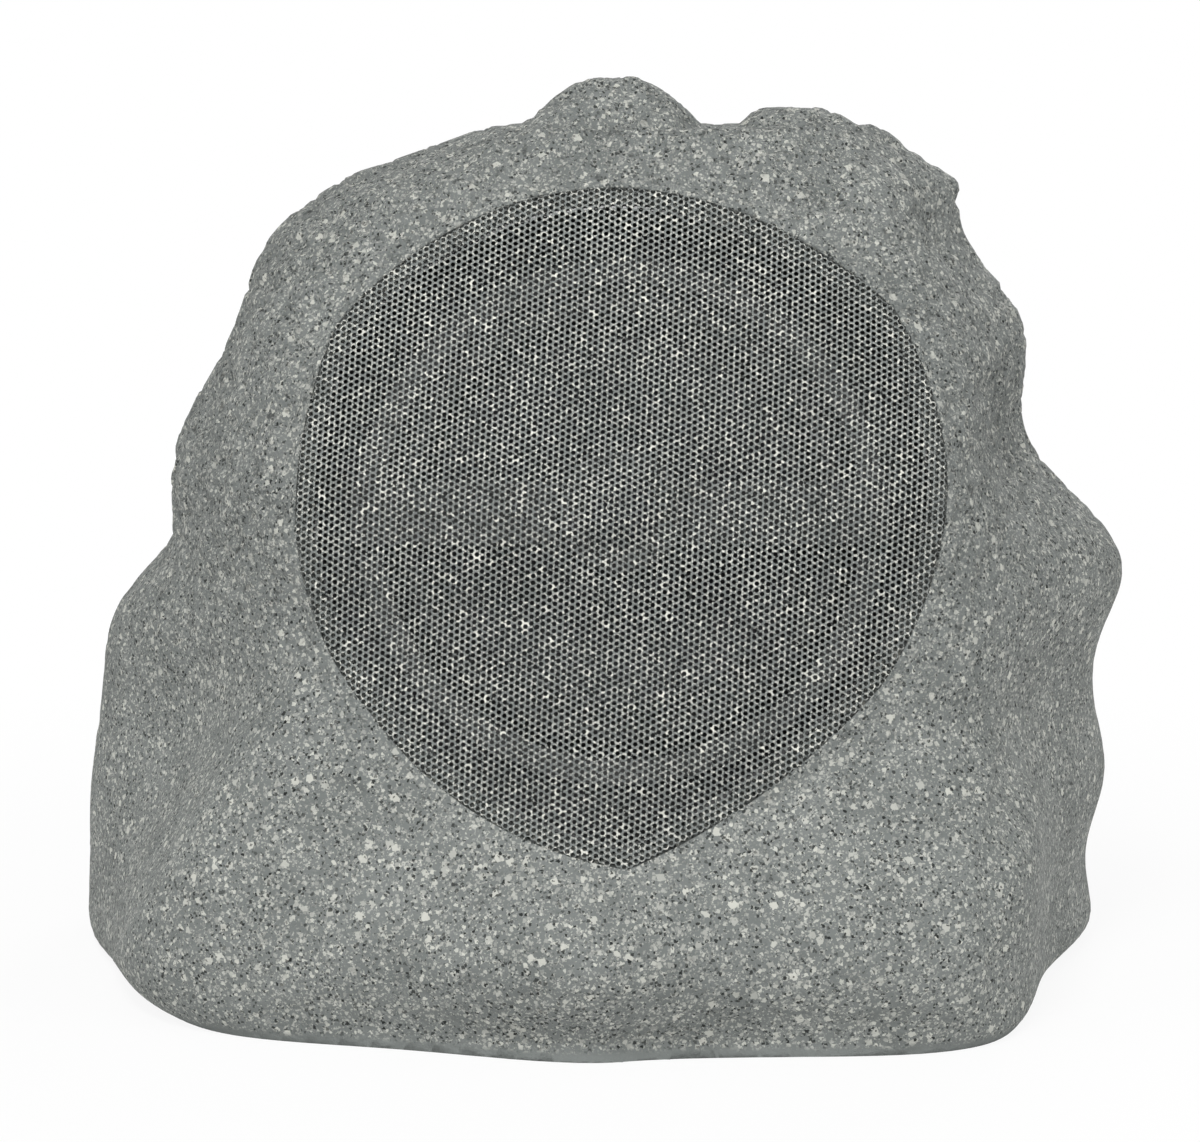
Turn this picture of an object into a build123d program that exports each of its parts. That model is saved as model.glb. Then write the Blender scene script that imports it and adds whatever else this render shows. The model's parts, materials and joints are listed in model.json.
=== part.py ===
from build123d import *
from collections import namedtuple
from math import asin, cos, radians, sin
import os

# Garden loudspeaker moulded as a rock. Millimetres, +Z up, the perforated grille faces -Y,
# the origin lies on the ground under the middle of the rock.

# Rock shell
rock_wall = 9
roof_wall = 13
rim_wall = 7
front_bulge = 7
rear_depth = 0.72

# Grille plane: its middle point and how far it leans back
front_x = 8
front_y = -111.5
front_z = 191
front_lean = 16

# Perforated grille
grille_recess = 0.6
grille_sheet = 1.2
grille_gap = 0.5
grille_seat = 0.4
grille_ledge = 6
skirt_depth = 6
skirt_wall = 1.2
skirt_gap = 0.4
perf_pitch = 20
perf_size = 12.5
perf_margin = 10

# Speaker well behind the grille and the baffle screwed to its back
baffle_level = -42
baffle_sheet = 12
baffle_lip = 12
baffle_gasket_sheet = 2
baffle_screw_count = 8
baffle_screw_radius = 2
baffle_screw_inset = 6
baffle_screw_grip = 14
boss_radius = 6.5

# Woofer, heights measured from the front of the baffle
driver_u = 0
driver_v = 6
frame_radius = 100
frame_flange = 4
frame_wall = 2.4
cutout_radius = 90
cutout_gap = 1
driver_gasket_sheet = 1.5
surround_sheet = 0.9
surround_ring = 4
roll_radius = 6
cone_lip = 5
cone_sheet = 1
cone_depth = 35
cap_reach = 9
cap_rise = 8
glue_gap = 0.3
coil_radius = 19.3
former_sheet = 0.4
winding_sheet = 0.9
winding_height = 14
spider_level = -45.5
spider_radius = 61
spider_sheet = 0.6
spider_wave = 1.6
frame_bottom = -60
plate_radius = 55
plate_sheet = 6
magnet_radius = 62
magnet_bore = 32
magnet_sheet = 18
pole_gap = 0.7
motor_gap = 1
driver_screw_count = 8
driver_screw_radius = 1.8
driver_screw_ring = 96
driver_screw_grip = 9
frame_windows = 6
window_width = 46

# Tweeter on a bridge across the woofer
bridge_width = 24
bridge_sheet = 5
bridge_level = 17
bridge_foot = 4.6
hub_radius = 25
hub_depth = 8
tweeter_radius = 17
tweeter_gap = 0.3
pot_wall = 3
pot_depth = 20
pill_radius = 11
pill_sheet = 6
pole_plate_radius = 12.2
pole_plate_sheet = 3
dome_radius = 12.6
dome_sheet = 0.5
dome_height = 5
faceplate_sheet = 3

# Base plate let into the bottom rim
base_recess = 12
base_sheet = 8
base_gap = 0.6
base_gasket_sheet = 2
base_flange = 6
base_flange_width = 14
base_screw_count = 8
base_screw_radius = 2

# Crossover on the base plate
board_x = 0
board_y = 34
board_length = 120
board_width = 84
board_sheet = 1.6
post_height = 8
post_radius = 4
post_inset = 6
board_screw_radius = 1.4
large_coil_radius = 20
large_coil_height = 22
small_coil_radius = 14
small_coil_height = 18
bobbin_flange = 2
bobbin_core = 8
cap_radius = 9
cap_length = 32
resistor_size = 10
resistor_length = 48

# Cable gland in a pocket at the back
gland_z = 60
pocket_radius = 20
pocket_wall = 8
pocket_floor = 138
pocket_floor_sheet = 8
thread_radius = 8
thread_gap = 0.3
hex_radius = 12.7
gland_flange = 5
gland_washer_sheet = 1.2
locknut_sheet = 6
cable_radius = 3.25
seal_wall = 2.6
seal_length = 11
cap_wall = 2.4

# Screw heads
head_height = 2.4
head_ratio = 1.9
screw_gap = 0.2

os.makedirs("parts", exist_ok=True)

# Level outlines of the rock from the ground to the brow: height, reach to the left, right, front and
# back, depth of the widest point, left and right reach of the rear corners, the two front corners as
# distances from the middle, and how far the right and the left flank bulge.
Ring = namedtuple("Ring", "height left right front back widest rear left_corner right_corner flanks")
ground = Ring(0, 207, 194, 157, 163, 24, (147, 144), (150, 112), (146, 130), (0, 4))
foot = Ring(24, 211, 201, 165, 168, 24, (155, 146), (168, 112), (149, 137), (0, 4))
apron = Ring(50, 210, 203, 163, 166, 22, (150, 151), (161, 112), (151, 136), (-1, 0))
apron_top = Ring(76, 206, 206, 146, 168, 16, (155, 145), (147, 110), (149, 124), (-2, -4))
waist = Ring(106, 201, 200, 140, 159, 12, (148, 139), (131, 107), (138, 112), (2, -5))
left_lobe = Ring(136, 196, 206, 134, 157, 12, (137, 147), (120, 105), (136, 107), (5, 2))
right_lobe = Ring(162, 176, 209, 130, 142, 11, (135, 135), (119, 102), (136, 105), (6, 8))
ridge = Ring(194, 172, 182, 125, 135, 9, (119, 133), (120, 99), (134, 104), (2, 8))
cheek = Ring(226, 160, 169, 111, 112, 7, (113, 117), (119, 88), (131, 98), (2, 9))
temple = Ring(258, 142, 167, 98, 99, 2, (91, 115), (113, 76), (126, 84), (4, 10))
shoulder = Ring(288, 129, 144, 86, 70, -5, (77, 99), (101, 62), (115, 69), (1, 8))
forehead = Ring(302, 115, 141, 80, 62, -8, (62, 95), (88, 58), (110, 63), (1, 6))
brow = Ring(314, 97, 136, 73, 50, -10, (50, 90), (70, 54), (104, 56), (2, 5))
top = Ring(333, 42, 108, 58, 26, -14, (20, 76), (30, 48), (84, 46), (2, 4))
rings = [
    ground, foot, apron, apron_top, waist, left_lobe, right_lobe, ridge, cheek, temple, shoulder, forehead, brow,
]

# Two knobs on top, each from its foot to its tip: height, left end, right end, front and back
crest = [(324, -40, 44, -58, 4), (341, -21, 31, -50, -6), (352, -6, 14, -38, -22)]
knoll = [(326, 48, 104, -44, 6), (335, 54, 96, -40, 2), (340, 64, 84, -34, -8)]


def bulged(a, b, bulge):
    """Middle of a side, pushed out by the bulge."""
    along = Vector(b[0] - a[0], b[1] - a[1])
    outward = Vector(along.Y, -along.X).normalized()
    return ((a[0] + b[0]) / 2 + outward.X * bulge, (a[1] + b[1]) / 2 + outward.Y * bulge)


def ring_points(ring, inset=0):
    """Points of a level outline, moved in by a wall."""
    left = (inset - ring.left, ring.widest)
    right = (ring.right - inset, ring.widest)
    front = (front_x, inset - ring.front)
    back = (0, ring.back - inset)
    corner_inset = 0.75 * inset
    left_corner = (corner_inset - ring.left_corner[0], corner_inset - ring.left_corner[1])
    right_corner = (ring.right_corner[0] - corner_inset, corner_inset - ring.right_corner[1])
    rear_y = right[1] + rear_depth * (back[1] - right[1])
    return [
        front,
        bulged(front, right_corner, front_bulge),
        right_corner,
        bulged(right_corner, right, ring.flanks[0]),
        right,
        (ring.rear[1] - corner_inset, rear_y),
        back,
        (corner_inset - ring.rear[0], rear_y),
        left,
        bulged(left, left_corner, ring.flanks[1]),
        left_corner,
        bulged(left_corner, front, front_bulge),
    ]


# Shares of the way round at which the points of an outline lie, the same for every level
corner_pairs = [zip(points, points[1:] + points[:1]) for points in map(ring_points, rings)]
side_lengths = [sum((Vector(*b) - Vector(*a)).length for a, b in sides) for sides in zip(*corner_pairs)]
ring_marks = [sum(side_lengths[:count]) / sum(side_lengths) for count in range(len(side_lengths) + 1)]


def ring_curve(ring, inset=0):
    """Closed curve of a level outline."""
    points = [Vector(*point) for point in ring_points(ring, inset)]
    return Edge.make_spline(points, periodic=True, parameters=ring_marks)


def ring_face(ring, inset=0):
    """Face of a level outline, drawn on the ground."""
    with BuildSketch() as face:
        with BuildLine():
            add(ring_curve(ring, inset))
        make_face()
    return face.sketch


def knob_points(left, right, front, back):
    """Round outline of a knob on top of the rock."""
    middle = (left + right) / 2
    depth = (front + back) / 2
    return [(middle, front), (right, depth), (middle, back), (left, depth)]


# Solid rock, before it is hollowed
with BuildPart() as rock_body:
    for ring in rings:
        with BuildSketch(Plane.XY.offset(ring.height)):
            with BuildLine():
                add(ring_curve(ring))
            make_face()
    loft()
    for ring in (brow, top):
        with BuildSketch(Plane.XY.offset(ring.height)):
            with BuildLine():
                add(ring_curve(ring))
            make_face()
    loft()
    for knob in (crest, knoll):
        for height, left, right, front, back in knob:
            with BuildSketch(Plane.XY.offset(height)):
                with BuildLine():
                    Spline(*knob_points(left, right, front, back), periodic=True)
                make_face()
        loft()

# Frame of the grille: x to the right, y up the lean, z out of the front
lean = radians(front_lean)
outward = Vector(0, -cos(lean), sin(lean))
upward = Vector(0, sin(lean), cos(lean))
front_plane = Plane(origin=(front_x, front_y, front_z), x_dir=(1, 0, 0), z_dir=outward)
baffle_plane = front_plane.offset(baffle_level)
driver_origin = front_plane.origin + Vector(driver_u, 0, 0) + upward * driver_v + outward * baffle_level
driver_plane = Plane(origin=driver_origin, x_dir=(1, 0, 0), z_dir=outward)
driver_axis = Axis(driver_origin, outward)
section_plane = Plane(origin=driver_origin, x_dir=(1, 0, 0), z_dir=upward * -1)


def shield_face(margin=0):
    """Outline of the grille, rounded above and pointed below, grown by a margin."""
    with BuildSketch() as face:
        with BuildLine():
            ThreePointArc((-2, 125), (54, 111), (100, 80))
            ThreePointArc((100, 80), (113, 50), (119, 12))
            ThreePointArc((119, 12), (112, -25), (94, -60))
            ThreePointArc((94, -60), (48, -101), (2, -126.5))
            ThreePointArc((2, -126.5), (-48, -109), (-91, -70))
            ThreePointArc((-91, -70), (-111, -38), (-119.5, 4))
            ThreePointArc((-119.5, 4), (-116, 40), (-105, 75))
            ThreePointArc((-105, 75), (-64, 109), (-2, 125))
        make_face()
        if margin:
            offset(amount=margin)
    return face.sketch


def points_along(face, count):
    """Evenly spaced points on the edge of an outline."""
    wire = face.faces()[0].outer_wire()
    return [wire.position_at((step + 0.5) / count) for step in range(count)]


def screws(plane, points, radius, grip):
    """Group of pan head screws, heads standing on the plane and shanks going in behind it."""
    with BuildPart(plane) as group:
        with Locations(*points):
            Cylinder(radius * head_ratio, head_height, align=(Align.CENTER, Align.CENTER, Align.MIN))
            Cylinder(radius, grip, align=(Align.CENTER, Align.CENTER, Align.MAX))
    return group.part


def turned(*points):
    """Piece turned about the woofer's axis from a profile of radius and height."""
    with BuildPart() as piece:
        with BuildSketch(section_plane):
            with BuildLine():
                Polyline(*points, close=True)
            make_face()
        revolve(axis=driver_axis)
    return piece.part


def dome_middle(rim, low, rise):
    """Point half way along the round section of a dome."""
    radius = (rim**2 + rise**2) / (2 * rise)
    half = asin(rim / radius) / 2
    return (radius * sin(half), low + rise - radius + radius * cos(half))


def save(part, name):
    part.label = name
    export_step(part, f"parts/{name}.step")


# Rock surface moved in along the grille's own direction
def sunk(depth):
    return rock_body.part.moved(Location(outward * -depth))


# Back end of the speaker well and floor of the gland's pocket
well_end = baffle_level + baffle_gasket_sheet
baffle_screw_points = points_along(shield_face(baffle_screw_inset), baffle_screw_count)
pocket_inside = pocket_floor - pocket_floor_sheet
pocket_plane = Plane(origin=(0, pocket_inside, gland_z), x_dir=(1, 0, 0), z_dir=(0, 1, 0))
far_out = 60

# Hollow of the rock above the base flange. It leaves the well's collar with its screw bosses, and the
# gland's pocket, standing.
flange_bottom = base_recess + base_sheet + base_gasket_sheet
flange_top = flange_bottom + base_flange
roof_drop = 0.4 * roof_wall
with BuildPart() as rock_hollow:
    with BuildSketch(Plane.XY.offset(flange_top)):
        with BuildLine():
            add(ring_curve(foot, rock_wall))
        make_face()
    for ring in rings[2:-1]:
        with BuildSketch(Plane.XY.offset(ring.height)):
            with BuildLine():
                add(ring_curve(ring, rock_wall))
            make_face()
    with BuildSketch(Plane.XY.offset(brow.height - roof_drop)):
        with BuildLine():
            add(ring_curve(brow, roof_wall))
        make_face()
    loft()
    with BuildSketch(Plane.XY.offset(brow.height - roof_drop)):
        with BuildLine():
            add(ring_curve(brow, roof_wall))
        make_face()
    with BuildSketch(Plane.XY.offset(top.height - roof_wall)):
        with BuildLine():
            add(ring_curve(top, roof_wall))
        make_face()
    loft()
    with BuildSketch(front_plane.offset(well_end)):
        add(shield_face())
        with Locations(*baffle_screw_points):
            Circle(boss_radius)
    extrude(amount=far_out - well_end, mode=Mode.SUBTRACT)
    with BuildSketch(pocket_plane):
        Circle(pocket_radius + pocket_wall)
    extrude(amount=far_out, mode=Mode.SUBTRACT)

# Seat of the grille, let into the rock to the depth of the sheet
with BuildPart() as grille_rebate:
    with BuildSketch(front_plane.offset(well_end)):
        add(shield_face(grille_gap))
    extrude(amount=far_out - well_end)
    add(sunk(grille_recess + grille_sheet + grille_seat), mode=Mode.SUBTRACT)

# Moulded rock shell
rim_screw_points = points_along(ring_face(ground, rim_wall + base_flange_width / 2), base_screw_count)
with BuildPart() as rock_shell:
    add(rock_body.part)
    add(rock_hollow.part, mode=Mode.SUBTRACT)
    with BuildSketch():
        add(ring_face(ground, rim_wall))
    extrude(amount=flange_bottom, mode=Mode.SUBTRACT)
    with BuildSketch(Plane.XY.offset(flange_bottom)):
        add(ring_face(ground, rim_wall + base_flange_width))
    extrude(amount=base_flange, mode=Mode.SUBTRACT)
    with BuildSketch(Plane.XY.offset(flange_bottom)):
        with Locations(*rim_screw_points):
            Circle(base_screw_radius + screw_gap)
    extrude(amount=base_flange, mode=Mode.SUBTRACT)
    with BuildSketch(front_plane.offset(well_end)):
        add(shield_face(-grille_ledge))
    extrude(amount=far_out - well_end, mode=Mode.SUBTRACT)
    add(grille_rebate.part, mode=Mode.SUBTRACT)
    with BuildSketch(front_plane.offset(well_end)):
        with Locations(*baffle_screw_points):
            Circle(baffle_screw_radius + screw_gap)
    extrude(amount=baffle_screw_grip, mode=Mode.SUBTRACT)
    with BuildSketch(pocket_plane.offset(pocket_floor_sheet)):
        Circle(pocket_radius)
    extrude(amount=far_out, mode=Mode.SUBTRACT)
    with BuildSketch(pocket_plane):
        Circle(thread_radius + thread_gap)
    extrude(amount=pocket_floor_sheet, mode=Mode.SUBTRACT)
save(rock_shell.part, "rock_shell")

# Grille: one pressed sheet that follows the rock, with a return all round that plugs into the well
hole_field = shield_face(-perf_margin).faces()[0]
with BuildSketch() as hole_grid:
    with HexLocations(perf_pitch / 2, 13, 15, major_radius=False) as grid:
        spots = [spot.position for spot in grid.local_locations]
hole_spots = [spot for spot in spots if hole_field.is_inside(spot)]
with BuildPart() as grille_skirt:
    with BuildSketch(baffle_plane):
        add(shield_face(-grille_ledge - skirt_gap))
        add(shield_face(-grille_ledge - skirt_gap - skirt_wall), mode=Mode.SUBTRACT)
    extrude(amount=far_out - baffle_level)
    add(sunk(grille_recess + grille_sheet / 2), mode=Mode.INTERSECT)
    add(sunk(grille_recess + grille_sheet + skirt_depth), mode=Mode.SUBTRACT)
with BuildPart() as grille:
    with BuildSketch(baffle_plane):
        add(shield_face())
    extrude(amount=far_out - baffle_level)
    add(sunk(grille_recess), mode=Mode.INTERSECT)
    add(sunk(grille_recess + grille_sheet), mode=Mode.SUBTRACT)
    add(grille_skirt.part)
    with BuildSketch(baffle_plane):
        with Locations(*hole_spots):
            RegularPolygon(perf_size / 2, 6)
    extrude(amount=far_out - baffle_level, mode=Mode.SUBTRACT)
save(grille.part, "grille")

# Baffle with the woofer cut-out, its foam gasket and the screws from behind
driver_screw_points = [
    Vector(driver_screw_ring, 0).rotate(Axis.Z, 360 * (step + 0.5) / driver_screw_count)
    for step in range(driver_screw_count)
]
with BuildPart() as baffle:
    with BuildSketch(baffle_plane.offset(-baffle_sheet)):
        add(shield_face(baffle_lip))
        with Locations((driver_u, driver_v)):
            Circle(cutout_radius, mode=Mode.SUBTRACT)
        with Locations(*baffle_screw_points):
            Circle(baffle_screw_radius + screw_gap, mode=Mode.SUBTRACT)
    extrude(amount=baffle_sheet)
    with BuildSketch(driver_plane.offset(-driver_screw_grip)):
        with Locations(*driver_screw_points):
            Circle(driver_screw_radius + screw_gap)
    extrude(amount=driver_screw_grip, mode=Mode.SUBTRACT)
save(baffle.part, "baffle")

with BuildPart() as baffle_gasket:
    with BuildSketch(baffle_plane):
        add(shield_face(baffle_lip - 1))
        add(shield_face(-grille_ledge), mode=Mode.SUBTRACT)
        with Locations(*baffle_screw_points):
            Circle(baffle_screw_radius + screw_gap, mode=Mode.SUBTRACT)
    extrude(amount=baffle_gasket_sheet)
save(baffle_gasket.part, "baffle_gasket")

back_plane = Plane(
    origin=front_plane.origin + outward * (baffle_level - baffle_sheet), x_dir=(1, 0, 0), z_dir=outward * -1
)
mirrored_points = [Vector(point.X, -point.Y) for point in baffle_screw_points]
baffle_grip = baffle_sheet + baffle_gasket_sheet + baffle_screw_grip - 1
save(screws(back_plane, mirrored_points, baffle_screw_radius, baffle_grip), "baffle_screws")

# Woofer frame: flange, open cone of spokes, spider ledge and motor seat
flange_low = driver_gasket_sheet
flange_high = driver_gasket_sheet + frame_flange
neck_radius = cutout_radius - cutout_gap
ledge_radius = spider_radius + glue_gap
seat_radius = spider_radius - 12
with BuildPart() as woofer_frame:
    with BuildSketch(section_plane):
        with BuildLine():
            Polyline(
                (frame_radius, flange_high),
                (frame_radius, flange_low),
                (neck_radius, flange_low),
                (neck_radius, -4),
                (ledge_radius + frame_wall, spider_level + frame_wall),
                (ledge_radius + frame_wall, spider_level - frame_wall),
                (seat_radius + frame_wall, spider_level - frame_wall),
                (seat_radius + frame_wall, frame_bottom),
                (coil_radius + 5, frame_bottom),
                (coil_radius + 5, frame_bottom + frame_wall),
                (seat_radius, frame_bottom + frame_wall),
                (seat_radius, spider_level),
                (ledge_radius, spider_level),
                (ledge_radius, spider_level + frame_wall),
                (neck_radius - frame_wall, -4),
                (neck_radius - frame_wall, flange_high),
                close=True,
            )
        make_face()
    revolve(axis=driver_axis)
    with BuildSketch(driver_plane.offset(spider_level + 2 * frame_wall)):
        with PolarLocations((neck_radius + ledge_radius) / 2, frame_windows):
            RectangleRounded(2.4 * frame_wall + neck_radius - ledge_radius, window_width, 6)
    extrude(amount=-spider_level - 2 * frame_wall - 10, mode=Mode.SUBTRACT)
    with BuildSketch(driver_plane):
        with Locations(*driver_screw_points):
            Circle(driver_screw_radius + screw_gap)
        with Locations((frame_radius - bridge_foot / 2, 0), (bridge_foot / 2 - frame_radius, 0)):
            Circle(1.2)
    extrude(amount=flange_high, mode=Mode.SUBTRACT)
save(woofer_frame.part, "woofer_frame")

with BuildPart() as woofer_gasket:
    with BuildSketch(driver_plane):
        Circle(frame_radius)
        Circle(cutout_radius + cutout_gap, mode=Mode.SUBTRACT)
        with Locations(*driver_screw_points):
            Circle(driver_screw_radius + screw_gap, mode=Mode.SUBTRACT)
    extrude(amount=driver_gasket_sheet)
save(woofer_gasket.part, "woofer_gasket")
driver_grip = driver_screw_grip + flange_high - 1
save(screws(driver_plane.offset(flange_high), driver_screw_points, driver_screw_radius, driver_grip), "woofer_screws")

# Rubber surround: glued ring, half roll and the lip over the cone's edge
ring_inner = neck_radius - frame_wall
roll_middle = ring_inner - roll_radius
cone_rim = roll_middle - roll_radius
with BuildPart() as woofer_surround:
    with BuildSketch(section_plane):
        with BuildLine():
            Polyline(
                (cone_rim + surround_sheet, flange_high),
                (cone_rim - cone_lip, flange_high),
                (cone_rim - cone_lip, flange_high + surround_sheet),
                (cone_rim, flange_high + surround_sheet),
            )
            ThreePointArc(
                (cone_rim, flange_high + surround_sheet),
                (roll_middle, flange_high + roll_radius + surround_sheet),
                (ring_inner, flange_high + surround_sheet),
            )
            Polyline(
                (ring_inner, flange_high + surround_sheet),
                (ring_inner + surround_ring, flange_high + surround_sheet),
                (ring_inner + surround_ring, flange_high),
                (ring_inner - surround_sheet, flange_high),
            )
            ThreePointArc(
                (ring_inner - surround_sheet, flange_high),
                (roll_middle, flange_high + roll_radius),
                (cone_rim + surround_sheet, flange_high),
            )
        make_face()
    revolve(axis=driver_axis)
save(woofer_surround.part, "woofer_surround")

# Cone, dust cap and voice coil move together along the woofer's axis
cone_top = flange_high - glue_gap
former_outer = coil_radius + former_sheet
neck_inner = former_outer + glue_gap
cone_low = cone_top - cone_sheet - cone_depth
cone_edge = cone_rim - cone_lip
save(
    turned(
        (cone_rim, cone_top),
        (cone_rim, cone_top - cone_sheet),
        (cone_edge, cone_top - cone_sheet),
        (neck_inner + cone_sheet, cone_low),
        (neck_inner + cone_sheet, cone_low - 4),
        (neck_inner, cone_low - 4),
        (neck_inner, cone_low + cone_sheet),
        (cone_edge - cone_sheet, cone_top),
    ),
    "woofer_cone",
)

cap_rim = neck_inner + cap_reach
cone_slope = cone_depth / (cone_edge - neck_inner - cone_sheet)
cap_low = cone_low + cone_sheet + cone_slope * (cap_rim - neck_inner) + glue_gap
cap_inner = cap_rim - 2 * cone_sheet
with BuildPart() as dust_cap:
    with BuildSketch(section_plane):
        with BuildLine():
            ThreePointArc((cap_rim, cap_low), dome_middle(cap_rim, cap_low, cap_rise), (0, cap_low + cap_rise))
            Line((0, cap_low + cap_rise), (0, cap_low + cap_rise - cone_sheet))
            ThreePointArc(
                (0, cap_low + cap_rise - cone_sheet),
                dome_middle(cap_inner, cap_low, cap_rise - cone_sheet),
                (cap_inner, cap_low),
            )
            Line((cap_inner, cap_low), (cap_rim, cap_low))
        make_face()
    revolve(axis=driver_axis)
save(dust_cap.part, "dust_cap")

winding_middle = frame_bottom - plate_sheet / 2
winding_low = winding_middle - winding_height / 2
winding_high = winding_middle + winding_height / 2
save(
    turned(
        (coil_radius, cap_low - 2),
        (former_outer, cap_low - 2),
        (former_outer, winding_low - 1),
        (coil_radius, winding_low - 1),
    ),
    "coil_former",
)
save(
    turned(
        (former_outer, winding_high),
        (former_outer + winding_sheet, winding_high),
        (former_outer + winding_sheet, winding_low),
        (former_outer, winding_low),
    ),
    "voice_coil",
)

# Corrugated spider between the coil former and the frame's ledge
spider_inner = former_outer + glue_gap
wave_start = spider_inner + 3
wave_end = seat_radius + 1
wave_count = 5
wave_step = (wave_end - wave_start) / wave_count
spider_low = spider_level + 0.1
crests = [(wave_start + wave_step * (step + 0.5), spider_low + spider_wave) for step in range(wave_count)]
troughs = [(wave_start + wave_step * step, spider_low) for step in range(wave_count + 1)]
waves = [point for pair in zip(troughs, crests) for point in pair] + [troughs[-1]]
upper = [(spider_inner, spider_low)] + waves + [(spider_radius, spider_low)]
lower = [(radius, height + spider_sheet) for radius, height in reversed(upper)]
save(turned(*upper, *lower), "woofer_spider")

# Motor: top plate, ferrite ring, back plate with the pole
gap_radius = former_outer + winding_sheet + motor_gap
plate_low = frame_bottom - plate_sheet
magnet_low = plate_low - magnet_sheet
back_low = magnet_low - plate_sheet
pole_radius = coil_radius - pole_gap
save(
    turned(
        (gap_radius, frame_bottom),
        (plate_radius, frame_bottom),
        (plate_radius, plate_low),
        (gap_radius, plate_low),
    ),
    "top_plate",
)
save(
    turned(
        (magnet_bore, plate_low),
        (magnet_radius, plate_low),
        (magnet_radius, magnet_low),
        (magnet_bore, magnet_low),
    ),
    "woofer_magnet",
)
save(
    turned(
        (0, frame_bottom),
        (pole_radius, frame_bottom),
        (pole_radius, magnet_low),
        (plate_radius, magnet_low),
        (plate_radius, back_low),
        (0, back_low),
    ),
    "back_plate",
)

# Bridge across the woofer's frame, with a hub for the tweeter
bridge_high = bridge_level + bridge_sheet
foot_middle = frame_radius - bridge_foot / 2
with BuildPart() as tweeter_bridge:
    with BuildSketch(driver_plane.offset(bridge_level)):
        Rectangle(2 * frame_radius, bridge_width)
        Circle(frame_radius, mode=Mode.INTERSECT)
        Circle(hub_radius)
    extrude(amount=bridge_sheet)
    with BuildSketch(driver_plane.offset(flange_high)):
        Rectangle(2 * frame_radius, bridge_width)
        Circle(frame_radius, mode=Mode.INTERSECT)
        Circle(frame_radius - bridge_foot, mode=Mode.SUBTRACT)
    extrude(amount=bridge_level - flange_high)
    with BuildSketch(driver_plane.offset(bridge_high - hub_depth)):
        Circle(hub_radius)
    extrude(amount=hub_depth)
    with BuildSketch(driver_plane.offset(bridge_high - hub_depth)):
        Circle(tweeter_radius + tweeter_gap)
    extrude(amount=hub_depth, mode=Mode.SUBTRACT)
    with BuildSketch(driver_plane.offset(flange_high)):
        with Locations((foot_middle, 0), (-foot_middle, 0)):
            Circle(1.2)
    extrude(amount=bridge_high - flange_high, mode=Mode.SUBTRACT)
save(tweeter_bridge.part, "tweeter_bridge")
bridge_grip = bridge_high - flange_low - 0.5
save(screws(driver_plane.offset(bridge_high), [(foot_middle, 0), (-foot_middle, 0)], 1, bridge_grip), "bridge_screws")

# Tweeter: steel pot, magnet disc, pole plate, dome with its own edge, and the faceplate
pot_low = bridge_high - pot_depth
pot_inner = tweeter_radius - pot_wall
gap_top = bridge_high - dome_sheet
save(
    turned(
        (0, pot_low),
        (tweeter_radius, pot_low),
        (tweeter_radius, gap_top),
        (pot_inner, gap_top),
        (pot_inner, pot_low + pot_wall),
        (0, pot_low + pot_wall),
    ),
    "tweeter_pot",
)
pill_low = pot_low + pot_wall
pill_high = pill_low + pill_sheet
save(turned((0, pill_low), (pill_radius, pill_low), (pill_radius, pill_high), (0, pill_high)), "tweeter_magnet")
pole_high = pill_high + pole_plate_sheet
save(
    turned((0, pill_high), (pole_plate_radius, pill_high), (pole_plate_radius, pole_high), (0, pole_high)),
    "tweeter_pole_plate",
)
with BuildPart() as tweeter_dome:
    with BuildSketch(section_plane):
        with BuildLine():
            Polyline(
                (dome_radius, gap_top),
                (dome_radius, pole_high - pole_plate_sheet / 2),
                (dome_radius + dome_sheet, pole_high - pole_plate_sheet / 2),
                (dome_radius + dome_sheet, gap_top),
                (tweeter_radius, gap_top),
                (tweeter_radius, bridge_high),
                (dome_radius, bridge_high),
            )
            ThreePointArc(
                (dome_radius, bridge_high),
                dome_middle(dome_radius, bridge_high, dome_height),
                (0, bridge_high + dome_height),
            )
            Line((0, bridge_high + dome_height), (0, gap_top + dome_height))
            ThreePointArc(
                (0, gap_top + dome_height),
                dome_middle(dome_radius, gap_top, dome_height),
                (dome_radius, gap_top),
            )
        make_face()
    revolve(axis=driver_axis)
save(tweeter_dome.part, "tweeter_dome")
save(
    turned(
        (dome_radius + 1, bridge_high),
        (hub_radius, bridge_high),
        (hub_radius, bridge_high + 1),
        (hub_radius - 2, bridge_high + faceplate_sheet),
        (hub_radius - 5, bridge_high + faceplate_sheet),
        (dome_radius + 1.4, bridge_high + 0.8),
    ),
    "tweeter_faceplate",
)

# Base plate with posts for the crossover, its gasket and screws
base_high = base_recess + base_sheet
board_low = base_high + post_height
post_points = [
    (board_x + side * (board_length / 2 - post_inset), board_y + end * (board_width / 2 - post_inset))
    for side in (-1, 1)
    for end in (-1, 1)
]
with BuildPart() as base_plate:
    with BuildSketch(Plane.XY.offset(base_recess)):
        add(ring_face(ground, rim_wall + base_gap))
        with Locations(*rim_screw_points):
            Circle(base_screw_radius + screw_gap, mode=Mode.SUBTRACT)
    extrude(amount=base_sheet)
    with BuildSketch(Plane.XY.offset(base_high)):
        with Locations(*post_points):
            Circle(post_radius)
    extrude(amount=post_height)
    with BuildSketch(Plane.XY.offset(base_high)):
        with Locations(*post_points):
            Circle(board_screw_radius + screw_gap)
    extrude(amount=post_height, mode=Mode.SUBTRACT)
save(base_plate.part, "base_plate")

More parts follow.
